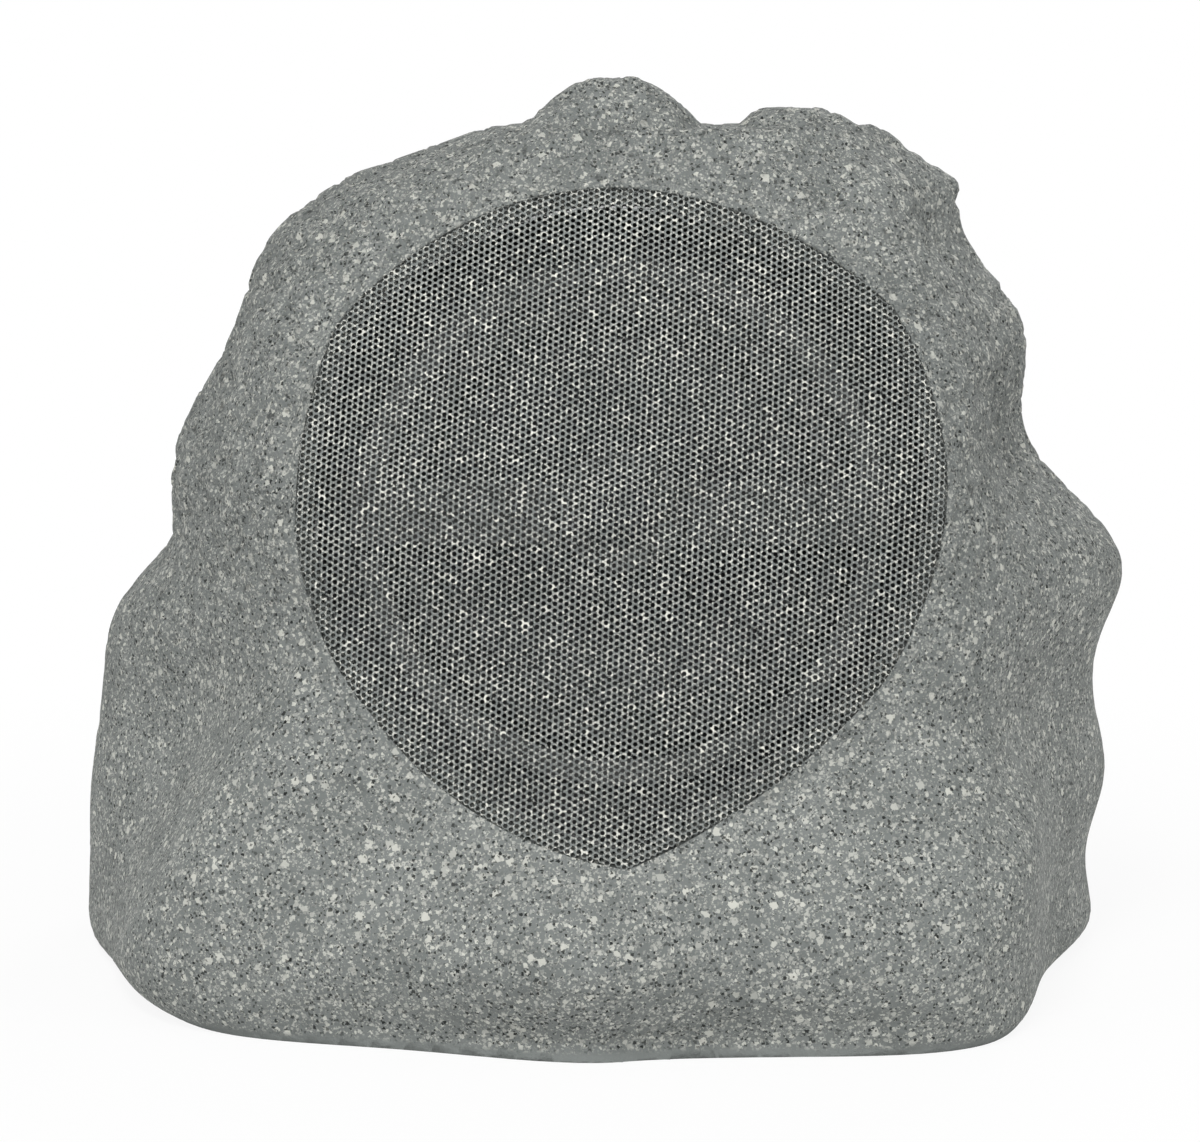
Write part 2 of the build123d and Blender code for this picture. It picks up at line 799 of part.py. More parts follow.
with BuildPart() as base_gasket:
    with BuildSketch(Plane.XY.offset(base_high)):
        add(ring_face(ground, rim_wall + base_gap))
        add(ring_face(ground, rim_wall + base_flange_width - 1), mode=Mode.SUBTRACT)
        with Locations(*rim_screw_points):
            Circle(base_screw_radius + screw_gap, mode=Mode.SUBTRACT)
    extrude(amount=base_gasket_sheet)
save(base_gasket.part, "base_gasket")
under_plane = Plane(origin=(0, 0, base_recess), x_dir=(1, 0, 0), z_dir=(0, 0, -1))
under_points = [Vector(point.X, -point.Y) for point in rim_screw_points]
base_grip = base_sheet + base_gasket_sheet + base_flange
save(screws(under_plane, under_points, base_screw_radius, base_grip), "base_screws")

# Crossover board and what is soldered to it
board_high = board_low + board_sheet
with BuildPart() as crossover_board:
    with BuildSketch(Plane.XY.offset(board_low)):
        with Locations((board_x, board_y)):
            Rectangle(board_length, board_width)
        with Locations(*post_points):
            Circle(board_screw_radius + screw_gap, mode=Mode.SUBTRACT)
    extrude(amount=board_sheet)
save(crossover_board.part, "crossover_board")
board_plane = Plane.XY.offset(board_high)
save(screws(board_plane, post_points, board_screw_radius, board_sheet + post_height - 1), "board_screws")

coils = [
    (board_x - 34, board_y + 14, large_coil_radius, large_coil_height),
    (board_x + 8, board_y + 20, small_coil_radius, small_coil_height),
]
with BuildPart() as coil_bobbins:
    for x, y, radius, height in coils:
        with Locations((x, y, board_high)):
            Cylinder(radius, bobbin_flange, align=(Align.CENTER, Align.CENTER, Align.MIN))
            Cylinder(bobbin_core, height, align=(Align.CENTER, Align.CENTER, Align.MIN))
        with Locations((x, y, board_high + height - bobbin_flange)):
            Cylinder(radius, bobbin_flange, align=(Align.CENTER, Align.CENTER, Align.MIN))
        with Locations((x, y, board_high)):
            Cylinder(bobbin_core - 2, height, align=(Align.CENTER, Align.CENTER, Align.MIN), mode=Mode.SUBTRACT)
save(coil_bobbins.part, "coil_bobbins")
with BuildPart() as coil_windings:
    for x, y, radius, height in coils:
        with BuildSketch(Plane.XY.offset(board_high + bobbin_flange)):
            with Locations((x, y)):
                Circle(radius - 1.5)
                Circle(bobbin_core, mode=Mode.SUBTRACT)
        extrude(amount=height - 2 * bobbin_flange)
save(coil_windings.part, "coil_windings")

capacitor_points = [
    (board_x - 34, board_y - 22, board_high + cap_radius),
    (board_x + 4, board_y - 8, board_high + cap_radius),
]
with BuildPart() as capacitors:
    with Locations(*capacitor_points):
        Cylinder(cap_radius, cap_length, rotation=(0, 90, 0))
save(capacitors.part, "capacitors")
with BuildPart() as resistor:
    with Locations((board_x + 14, board_y - 28, board_high)):
        Box(resistor_length, resistor_size, resistor_size, align=(Align.CENTER, Align.CENTER, Align.MIN))
save(resistor.part, "resistor")
with BuildPart() as terminal_block:
    with Locations((board_x + 44, board_y + 6, board_high)):
        Box(14, 40, 12, align=(Align.CENTER, Align.CENTER, Align.MIN))
    with Locations((board_x + 44, board_y + 6, board_high + 12)):
        with GridLocations(0, 10, 1, 4):
            Hole(2.6, depth=7)
    top_edges = terminal_block.edges().filter_by(Axis.Y).group_by(Axis.Z)[-1]
    chamfer(top_edges, 2)
save(terminal_block.part, "terminal_block")

# Cable gland through the floor of the pocket
gland_axis = Axis((0, 0, gland_z), (0, 1, 0))
gland_section = Plane.XY.offset(gland_z)
washer_out = pocket_floor + gland_washer_sheet
body_flange = washer_out + gland_flange
seal_radius = cable_radius + seal_wall
seal_start = body_flange + 2
seal_end = seal_start + seal_length
neck_end = seal_end - 1
hex_plane = Plane(origin=(0, 0, gland_z), x_dir=(1, 0, 0), z_dir=(0, 1, 0))
with BuildPart() as gland_body:
    with BuildSketch(hex_plane.offset(pocket_inside - locknut_sheet - 3)):
        Circle(thread_radius)
    extrude(amount=neck_end - pocket_inside + locknut_sheet + 3)
    with BuildSketch(hex_plane.offset(washer_out)):
        RegularPolygon(hex_radius, 6)
    extrude(amount=gland_flange)
    with BuildSketch(hex_plane.offset(pocket_inside - locknut_sheet - 3)):
        Circle(cable_radius + 1)
    extrude(amount=far_out, mode=Mode.SUBTRACT)
    with BuildSketch(hex_plane.offset(seal_start)):
        Circle(seal_radius + 0.1)
    extrude(amount=far_out, mode=Mode.SUBTRACT)
save(gland_body.part, "gland_body")
with BuildPart() as gland_washer:
    with BuildSketch(hex_plane.offset(pocket_floor)):
        Circle(hex_radius)
        Circle(thread_radius + thread_gap, mode=Mode.SUBTRACT)
    extrude(amount=gland_washer_sheet)
save(gland_washer.part, "gland_washer")
with BuildPart() as gland_locknut:
    with BuildSketch(hex_plane.offset(pocket_inside - locknut_sheet)):
        RegularPolygon(hex_radius, 6)
        Circle(thread_radius + thread_gap, mode=Mode.SUBTRACT)
    extrude(amount=locknut_sheet)
save(gland_locknut.part, "gland_locknut")
with BuildPart() as gland_seal:
    with BuildSketch(hex_plane.offset(seal_start)):
        Circle(seal_radius)
        Circle(cable_radius, mode=Mode.SUBTRACT)
    extrude(amount=seal_length)
save(gland_seal.part, "gland_seal")
cap_start = body_flange + 0.5
cap_end = seal_end + 0.2
cap_outer = thread_radius + thread_gap + cap_wall
with BuildPart() as gland_cap:
    with BuildSketch(hex_plane.offset(cap_start)):
        RegularPolygon(cap_outer, 12)
    extrude(amount=cap_end - cap_start)
    with BuildSketch(hex_plane.offset(cap_end)):
        Circle(cap_outer - 0.5)
    extrude(amount=cap_wall, taper=30)
    with BuildSketch(hex_plane.offset(cap_start)):
        Circle(thread_radius + thread_gap)
    extrude(amount=cap_end - cap_start, mode=Mode.SUBTRACT)
    with BuildSketch(hex_plane.offset(cap_start)):
        Circle(cable_radius + 1)
    extrude(amount=far_out, mode=Mode.SUBTRACT)
save(gland_cap.part, "gland_cap")
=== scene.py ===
import json
import math

import bmesh
import bpy
import numpy as np
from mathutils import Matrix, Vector, noise
from mathutils.bvhtree import BVHTree


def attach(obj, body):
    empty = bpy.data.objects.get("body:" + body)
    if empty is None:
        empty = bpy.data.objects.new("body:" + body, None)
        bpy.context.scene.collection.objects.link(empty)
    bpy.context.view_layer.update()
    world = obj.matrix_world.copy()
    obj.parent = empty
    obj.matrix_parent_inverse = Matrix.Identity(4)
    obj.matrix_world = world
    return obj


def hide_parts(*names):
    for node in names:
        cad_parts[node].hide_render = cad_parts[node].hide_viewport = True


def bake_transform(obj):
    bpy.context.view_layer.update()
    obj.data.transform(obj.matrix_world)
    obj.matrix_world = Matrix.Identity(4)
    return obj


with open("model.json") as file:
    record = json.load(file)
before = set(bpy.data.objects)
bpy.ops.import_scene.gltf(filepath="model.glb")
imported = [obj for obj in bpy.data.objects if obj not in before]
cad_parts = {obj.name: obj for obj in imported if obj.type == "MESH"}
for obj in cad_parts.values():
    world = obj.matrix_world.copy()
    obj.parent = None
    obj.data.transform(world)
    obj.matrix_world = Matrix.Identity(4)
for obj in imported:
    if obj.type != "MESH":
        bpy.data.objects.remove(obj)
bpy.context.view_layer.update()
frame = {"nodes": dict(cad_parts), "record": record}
cad = frame["nodes"]

# The grille's own frame: across, up the lean and out of the front, from the middle of the grille
LEAN = math.radians(16)
GRILLE_MIDDLE = np.array([0.008, -0.1115, 0.191])
ACROSS = np.array([1.0, 0.0, 0.0])
UPWARD = np.array([0.0, math.sin(LEAN), math.cos(LEAN)])
OUTWARD = np.array([0.0, -math.cos(LEAN), math.sin(LEAN)])

# Perforated sheet
PITCH = 0.0024
HOLE = 0.00186
SHEET = 0.0009
LATTICE_TURN = math.radians(-2.5)
SHEET_JOIN = 0.012

# Relief of the moulded rock
SKIN_CELLS = 132
SKIN_MIDDLE = (0.0, -0.02, 0.14)
SKIN_SINK = 0.0004
GRILLE_RECESS = 0.0006
DEEPEST = 0.0038
RIM_LEVEL = 0.0004
OUTSIDE = 0.7  # far enough out to look back at the rock from

# The skin over the gland's pocket, and how it runs on under the ground
INLET_LEVEL = 0.06
INLET_RADIUS = 0.0205
INLET_COVER = 0.176
UNDERGROUND = 0.012
FOOT_ROW = 0.0038
FOOT_SQUEEZE = 0.02

# Rings that hold the cone: sectors, the held radius and the free radius
SURROUND_BEND = (16, 0.084, 0.0756)
SPIDER_BEND = (8, 0.046, 0.0232)


class Signal:
    """A value in a node tree. Sums and products on it add Math nodes."""

    def __init__(self, board, socket):
        self.board = board
        self.socket = socket

    def maths(self, operation, first, second=0.0, held=False):
        settings = {"operation": operation, "use_clamp": held}
        return self.board.node("ShaderNodeMath", settings, {0: first, 1: second})

    def __add__(self, other):
        return self.maths("ADD", self, other)

    def __radd__(self, other):
        return self.maths("ADD", other, self)

    def __sub__(self, other):
        return self.maths("SUBTRACT", self, other)

    def __rsub__(self, other):
        return self.maths("SUBTRACT", other, self)

    def __mul__(self, other):
        return self.maths("MULTIPLY", self, other)

    def __rmul__(self, other):
        return self.maths("MULTIPLY", other, self)

    def __truediv__(self, other):
        return self.maths("DIVIDE", self, other)

    def __rtruediv__(self, other):
        return self.maths("DIVIDE", other, self)

    def below(self, other):
        return self.maths("LESS_THAN", self, other)

    def most(self, other):
        return self.maths("MAXIMUM", self, other)

    def power(self, other):
        return self.maths("POWER", self, other)

    def held(self):
        return self.maths("ADD", self, 0.0, True)

    def rise(self, low, high):
        """0 below low, 1 above high and straight between."""
        return self.maths("MULTIPLY", self - low, 1 / (high - low), True)

    def beside(self, output):
        """Another output of the same node."""
        return Signal(self.board, self.socket.node.outputs[output])


class Board:
    """A node tree with one way of adding a node to it."""

    def __init__(self, tree):
        self.tree = tree

    def node(self, kind, settings=None, sockets=None, output=0):
        made = self.tree.nodes.new(kind)
        for name, value in (settings or {}).items():
            if name == "stops":
                ramp = made.color_ramp
                while len(ramp.elements) < len(value):
                    ramp.elements.new(1.0)
                for stop, (place, colour) in zip(ramp.elements, value):
                    stop.position = place
                    stop.color = colour
            else:
                setattr(made, name, value)
        for name, value in (sockets or {}).items():
            if isinstance(value, Signal):
                self.tree.links.new(value.socket, made.inputs[name])
            else:
                made.inputs[name].default_value = value
        return Signal(self, made.outputs[output] if made.outputs else None)


class Finish(Board):
    """A material with its object coordinates in millimetres."""

    def __init__(self, name):
        self.material = bpy.data.materials.new(name)
        self.material.use_nodes = True
        super().__init__(self.material.node_tree)
        self.tree.nodes.clear()
        place = self.node("ShaderNodeTexCoord", output="Object")
        self.mm = self.node("ShaderNodeVectorMath", {"operation": "SCALE"}, {0: place, "Scale": 1000.0})

    def noise(self, size, detail=2.0, roughness=0.5, where=None):
        sockets = {"Vector": where or self.mm, "Scale": 1 / size, "Detail": detail, "Roughness": roughness}
        return self.node("ShaderNodeTexNoise", {"noise_dimensions": "3D"}, sockets, "Fac")

    def cells(self, size, where=None):
        sockets = {"Vector": where or self.mm, "Scale": 1 / size}
        return self.node("ShaderNodeTexVoronoi", {"voronoi_dimensions": "3D"}, sockets, "Distance")

    def mix(self, share, first, second):
        return self.node("ShaderNodeMix", {"data_type": "RGBA"}, {0: share, 6: first, 7: second}, 2)

    def split(self, colour):
        return self.node("ShaderNodeSeparateColor", sockets={"Color": colour})

    def axes(self, vector):
        return self.node("ShaderNodeSeparateXYZ", sockets={"Vector": vector})

    def bump(self, height, strength, distance, under=None):
        sockets = {"Height": height, "Strength": strength, "Distance": distance}
        if under:
            sockets["Normal"] = under
        return self.node("ShaderNodeBump", None, sockets)

    def done(self, **sockets):
        """The surface, its sockets named with underscores for spaces."""
        named = {name.replace("_", " "): value for name, value in sockets.items()}
        surface = self.node("ShaderNodeBsdfPrincipled", None, named)
        self.node("ShaderNodeOutputMaterial", None, {"Surface": surface})
        return self.material


def linear(red, green, blue):
    """Colour as written on a screen, 0 to 255, as the shader takes it."""
    parts = [value / 255 for value in (red, green, blue)]
    return tuple(p / 12.92 if p <= 0.04045 else ((p + 0.055) / 1.055) ** 2.4 for p in parts) + (1.0,)


def smooth(value, low, high):
    """0 below low, 1 above high and soft between, for arrays."""
    share = np.clip((value - low) / (high - low), 0, 1)
    return share * share * (3 - 2 * share)


# Finishes

STONE = linear(117, 121, 119)
STONE_DEEP = linear(106, 110, 108)
CREAM = linear(206, 206, 197)
# Black of the coat's grains, also used as painted shade in the pits
GRAIN_AND_SHADE_BLACK = linear(24, 27, 26)


def flecks(f, where, size, turn, share, small, large, edge):
    """Chips scattered in the coat: how much of a chip is here, and a chance number for its tone."""
    sockets = {"Vector": where, "Rotation": turn, "Location": (size * 7, size * 3, size * 5)}
    spot = f.node("ShaderNodeMapping", {"vector_type": "POINT"}, sockets)
    settings = {"voronoi_dimensions": "3D", "distance": "MANHATTAN"}
    near = f.node("ShaderNodeTexVoronoi", settings, {"Vector": spot, "Scale": 1 / size}, "Distance")
    chance = f.split(near.beside("Color"))
    reach = small + (large - small) * chance.beside("Green")
    here = (reach - near).rise(0, edge) * chance.below(share)
    return here, chance.beside("Blue")


def granite_coat(name, scale=1.0, grain=1.0, bright=1.0):
    """Sprayed stone coat: grey-green ground, cream chips, black grains and painted shade in the pits of the
    crag relief.
    """
    f = Finish(name)
    shake = f.node("ShaderNodeTexNoise", None, {"Vector": f.mm, "Scale": 0.75, "Detail": 1.0}, "Color")
    push = {0: shake, 1: (1.5, 1.5, 1.5), 2: f.mm}
    uneven = f.node("ShaderNodeVectorMath", {"operation": "MULTIPLY_ADD"}, push)
    cloud = f.noise(24, 2.0).rise(0.3, 0.7)
    ground = f.mix(cloud, STONE_DEEP, STONE)

    dust, dust_tone = flecks(f, uneven, 0.95 * scale, (0.4, 0.2, 0.7), 0.75, 0.35, 1.0, 0.25)
    chips, chip_tone = flecks(f, uneven, 1.75 * scale, (0.9, 0.5, 0.1), 0.62, 0.3, 0.9, 0.14)
    slabs, slab_tone = flecks(f, uneven, 4.4 * scale, (0.2, 1.1, 0.6), 0.4, 0.22, 0.62, 0.07)
    pale = (dust * (0.12 + 0.5 * dust_tone)).most(chips * (0.22 + 0.66 * chip_tone)) * (0.7 + 0.3 * cloud)
    pale = pale.most(slabs * (0.35 + 0.45 * slab_tone)) * bright
    grains, grain_tone = flecks(f, uneven, 1.5 * scale, (0.1, 0.8, 0.3), 0.6, 0.22, 0.8, 0.12)

    height = f.axes(f.mm).beside("Z")
    crag = f.noise(4.2, 4.0, 0.62)
    coarse = 0.35 + 0.65 * height.rise(90, 190)
    # Painted shade: the coat goes darker in the low spots of the crag relief that the bump draws, more on the
    # upper rock
    painted_pit_shade = (0.43 - crag).rise(0, 0.12) * coarse * grain
    bare = (height - 2.0 * f.noise(9, 1.0)).rise(1.2, 3.4)
    coat = f.mix((pale * bare).held(), ground, CREAM)
    # Black grains of the coat, together with the painted pit shade
    grains_and_painted_shade = (grains * (0.55 + 0.45 * grain_tone)).most(painted_pit_shade * 0.6)
    coat = f.mix(grains_and_painted_shade * bare, coat, GRAIN_AND_SHADE_BLACK)

    normal = f.bump(crag * coarse, 0.9 * grain, 0.004)
    return f.done(Base_Color=coat, Roughness=0.72 + 0.16 * crag, Normal=normal, Specular_IOR_Level=0.3)


def moulded_plastic(name, colour, grain=0.5, rough=0.55):
    """Moulded plastic with a fine eroded grain and slight uneven tone."""
    f = Finish(name)
    shade = tuple(c * 0.72 for c in colour[:3]) + (1.0,)
    tone = f.mix(f.noise(22, 3.0).rise(0.3, 0.7), shade, colour)
    skin = f.noise(0.7, 3.0, 0.6)
    return f.done(
        Base_Color=tone,
        Roughness=rough - 0.08 + 0.16 * f.noise(5, 3.0),
        Normal=f.bump(skin, 0.3 * grain, 0.0004),
    )


def closed_foam(name, colour):
    """Closed-cell foam: small burst bubbles on a dull skin."""
    f = Finish(name)
    bubble = f.cells(0.9)
    lighter = tuple(min(1.0, c * 1.9) for c in colour[:3]) + (1.0,)
    # Painted shade: darker in the bubble pits that the bump draws, lighter on their rims
    tone = f.mix(bubble.rise(0.2, 0.7), colour, lighter)
    return f.done(Base_Color=tone, Roughness=0.82 + 0.12 * f.noise(4), Normal=f.bump(bubble, 0.5, 0.0005))


def soft_rubber(name, colour):
    """Butyl rubber: dull, with a faint bloom."""
    f = Finish(name)
    bloom = tuple(min(1.0, c * 1.7 + 0.004) for c in colour[:3]) + (1.0,)
    tone = f.mix(f.noise(9, 4.0, 0.6).rise(0.45, 0.8), colour, bloom)
    return f.done(
        Base_Color=tone,
        Roughness=0.6 + 0.2 * f.noise(6, 3.0),
        Normal=f.bump(f.noise(0.5, 2.0), 0.15, 0.0003),
    )


def plain_metal(name, colour, rough=0.32, brush=(0.06, 2.2, 2.2)):
    """Bare or plated metal with drawn lines and a few dull spots."""
    f = Finish(name)
    lines = f.node("ShaderNodeMapping", {"vector_type": "POINT"}, {"Vector": f.mm, "Scale": brush})
    drawn = f.noise(0.5, 3.0, 0.6, lines)
    spots = f.noise(4.5, 4.0, 0.6).rise(0.55, 0.8)
    dull = tuple(c * 0.75 for c in colour[:3]) + (1.0,)
    return f.done(
        Base_Color=f.mix(spots, colour, dull),
        Metallic=1.0,
        Roughness=rough + 0.14 * drawn + 0.12 * spots,
        Normal=f.bump(drawn, 0.12, 0.0002),
    )


def stoved_paint(name, colour):
    """Black stoved paint on pressed steel, with a light orange peel."""
    f = Finish(name)
    peel = f.noise(1.8, 2.0)
    worn = f.noise(7, 4.0, 0.65).rise(0.62, 0.78)
    lighter = tuple(min(1.0, c * 1.8 + 0.01) for c in colour[:3]) + (1.0,)
    return f.done(
        Base_Color=f.mix(worn, colour, lighter),
        Roughness=0.38 + 0.2 * worn,
        Coat_Weight=0.15 + 0.1 * peel,
        Normal=f.bump(peel, 0.18, 0.0004),
    )


def sintered_ferrite(name, colour):
    """Pressed and ground ferrite: dark, dull, with fine pores."""
    f = Finish(name)
    pores = f.cells(0.8).rise(0.05, 0.3)
    lighter = tuple(c * 1.7 for c in colour[:3]) + (1.0,)
    tone = f.mix(f.noise(2.5, 4.0, 0.6), colour, lighter)
    return f.done(Base_Color=tone, Roughness=0.5 + 0.2 * f.noise(3, 3.0), Normal=f.bump(pores, 0.25, 0.0003))


def wound_wire(name, colour):
    """Enamelled copper wire laid turn by turn."""
    f = Finish(name)
    sockets = {"Vector": f.mm, "Scale": 0.7, "Distortion": 0.5}
    turns = f.node("ShaderNodeTexWave", {"bands_direction": "Z"}, sockets)
    ridge = turns.beside("Fac")
    # Painted shade: the wire goes darker between the turns
    painted_gap_shade = tuple(c * 0.35 for c in colour[:3]) + (1.0,)
    return f.done(
        Base_Color=f.mix(ridge.rise(0.1, 0.55), painted_gap_shade, colour),
        Metallic=0.85,
        Roughness=0.28 + 0.12 * f.noise(3, 2.0),
        Normal=f.bump(ridge, 0.6, 0.0005),
    )


def woven_cloth(name, colour, thread=0.55):
    """Plain weave, stiffened."""
    f = Finish(name)
    sockets = {"Vector": f.mm, "Scale": 0.5 / thread}
    warp = f.node("ShaderNodeTexWave", {"bands_direction": "X"}, sockets).beside("Fac")
    weft = f.node("ShaderNodeTexWave", {"bands_direction": "Z"}, sockets).beside("Fac")
    weave = warp.most(weft)
    # Painted shade: the cloth goes darker between the threads
    painted_weave_shade = tuple(c * 0.55 for c in colour[:3]) + (1.0,)
    return f.done(
        Base_Color=f.mix(weave, painted_weave_shade, colour),
        Roughness=0.7 + 0.15 * f.noise(5, 3.0),
        Normal=f.bump(weave, 0.4, 0.0003),
    )


def glass_laminate(name, colour):
    """Circuit board: green lacquer over a glass weave."""
    f = Finish(name)
    warp = f.node("ShaderNodeTexWave", {"bands_direction": "X"}, {"Vector": f.mm, "Scale": 0.42}).beside("Fac")
    weft = f.node("ShaderNodeTexWave", {"bands_direction": "Y"}, {"Vector": f.mm, "Scale": 0.42}).beside("Fac")
    weave = (warp + weft) * 0.5
    lighter = tuple(min(1.0, c * 1.35) for c in colour[:3]) + (1.0,)
    return f.done(
        Base_Color=f.mix(weave, colour, lighter),
        Roughness=0.3 + 0.15 * f.noise(8, 3.0),
        Coat_Weight=0.3 + 0.2 * weave,
        Normal=f.bump(weave, 0.1, 0.0002),
    )


def pulp_cone(name, colour):
    """Moulded cone skin with faint ribs of the tool and a dull fleck."""
    f = Finish(name)
    strands = f.noise(1.6, 5.0, 0.7)
    lighter = tuple(min(1.0, c * 1.6) for c in colour[:3]) + (1.0,)
    return f.done(
        Base_Color=f.mix(strands.rise(0.4, 0.75), colour, lighter),
        Roughness=0.5 + 0.18 * f.noise(11, 3.0),
        Normal=f.bump(strands, 0.2, 0.0003),
    )


# Shapes

def plain_object(name, mesh):
    made = bpy.data.objects.new(name, mesh)
    bpy.context.scene.collection.objects.link(made)
    return made


def points_of(mesh):
    flat = np.zeros(len(mesh.vertices) * 3)
    mesh.vertices.foreach_get("co", flat)
    return flat.reshape(-1, 3)


def welded_copy(node):
    """A copy of a CAD mesh with its loose triangles joined."""
    joined = bmesh.new()
    joined.from_mesh(cad[node].data)
    bmesh.ops.remove_doubles(joined, verts=joined.verts, dist=2e-6)
    mesh = bpy.data.meshes.new(node + "_copy")
    joined.to_mesh(mesh)
    joined.free()
    return mesh


def to_grille(points):
    """Points in the grille's frame: across, up and out."""
    away = points - GRILLE_MIDDLE
    return np.stack([away @ ACROSS, away @ UPWARD, away @ OUTWARD], 1)


def from_grille(points):
    return GRILLE_MIDDLE + points[:, :1] * ACROSS + points[:, 1:2] * UPWARD + points[:, 2:] * OUTWARD


def hull_outline(points):
    """Outer outline of flat points, anticlockwise."""
    order = sorted(map(tuple, points))

    def chain(run):
        kept = []
        for p in run:
            while len(kept) > 1:
                (ax, ay), (bx, by) = kept[-2], kept[-1]
                if (bx - ax) * (p[1] - ay) - (by - ay) * (p[0] - ax) > 0:
                    break
                kept.pop()
            kept.append(p)
        return kept[:-1]

    return np.array(chain(order) + chain(order[::-1]))


def edge_distance(points, outline):
    """How far flat points are from the outline, positive inside."""
    nearest = np.full(len(points), 1e9)
    inside = np.ones(len(points), bool)
    for a, b in zip(outline, np.roll(outline, -1, 0)):
        along = b - a
        length = along @ along
        if length < 1e-14:
            continue
        away = points - a
        share = np.clip(away @ along / length, 0, 1)
        nearest = np.minimum(nearest, np.hypot(*(away - share[:, None] * along).T))
        inside &= along[0] * away[:, 1] - along[1] * away[:, 0] >= 0
    return np.where(inside, nearest, -nearest)


# Front of the CAD grille as a height over its own plane
grille_triangles = cad["grille"].data
grille_normals = np.array([face.normal for face in grille_triangles.polygons])
front_faces = np.flatnonzero(grille_normals @ OUTWARD > 0.35)
front_corners = sorted({corner for face in front_faces for corner in grille_triangles.polygons[face].vertices})
front_points = to_grille(points_of(grille_triangles)[front_corners])
front_points = front_points[np.unique(np.round(front_points[:, :2], 5), axis=0, return_index=True)[1]]
front_points = front_points[::1 + len(front_points) // 1200]
outline = hull_outline(np.round(to_grille(points_of(grille_triangles))[:, :2], 6))


def bend_kernel(away):
    square = (away**2).sum(-1)
    return square * np.log(np.maximum(square, 1e-18))


class FrontHeight:
    """Smooth sheet through the front points, looked up on a fine grid."""

    STEP = 0.002

    def __init__(self, points):
        flat = points[:, :2] * 10
        count = len(flat)
        lift = np.hstack([np.ones((count, 1)), flat])
        system = np.zeros((count + 3, count + 3))
        system[:count, :count] = bend_kernel(flat[:, None] - flat[None]) + np.eye(count) * 1e-7
        system[:count, count:] = lift
        system[count:, :count] = lift.T
        weights = np.linalg.solve(system, np.append(points[:, 2], np.zeros(3)))
        self.low = points[:, :2].min(0) - 0.006
        size = np.ceil((points[:, :2].max(0) + 0.006 - self.low) / self.STEP).astype(int) + 1
        columns, rows = np.meshgrid(np.arange(size[0]), np.arange(size[1]), indexing="ij")
        spots = (self.low + np.stack([columns.ravel(), rows.ravel()], 1) * self.STEP) * 10
        heights = []
        for part in np.array_split(spots, 24):
            kernel = bend_kernel(part[:, None] - flat[None])
            heights.append(kernel @ weights[:count] + weights[count] + part @ weights[count + 1:])
        self.heights = np.concatenate(heights).reshape(size)

    def at(self, points):
        place = (points[:, :2] - self.low) / self.STEP
        corner = np.clip(np.floor(place).astype(int), 0, np.array(self.heights.shape) - 2)
        share = np.clip(place - corner, 0, 1)
        i, j = corner.T
        left = self.heights[i, j] * (1 - share[:, 1]) + self.heights[i, j + 1] * share[:, 1]
        right = self.heights[i + 1, j] * (1 - share[:, 1]) + self.heights[i + 1, j + 1] * share[:, 1]
        return left * (1 - share[:, 0]) + right * share[:, 0]


front_height = FrontHeight(front_points)

# Crease pressed across the sheet, from left to right: across and up
CREASE = np.array([
    (-0.119, 0.013), (-0.070, 0.007), (-0.037, 0.0), (-0.015, -0.005), (0.0065, 0.0005),
    (0.028, 0.017), (0.0575, 0.0377), (0.087, 0.0473), (0.1135, 0.0544),
])


def crease_lift(flat):
    """How far the pressed crease stands out: a long slope above it and a short one below."""
    over = flat[:, 1] - np.interp(flat[:, 0], CREASE[:, 0], CREASE[:, 1])
    above = 0.5 + 0.5 * np.cos(np.pi * np.clip(over / 0.05, 0, 1))
    under = 0.5 + 0.5 * np.cos(np.pi * np.clip(-over / 0.011, 0, 1))
    lift = np.where(over > 0, above, under) * 0.0031
    return lift * smooth(edge_distance(flat, outline), 0.001, 0.022)


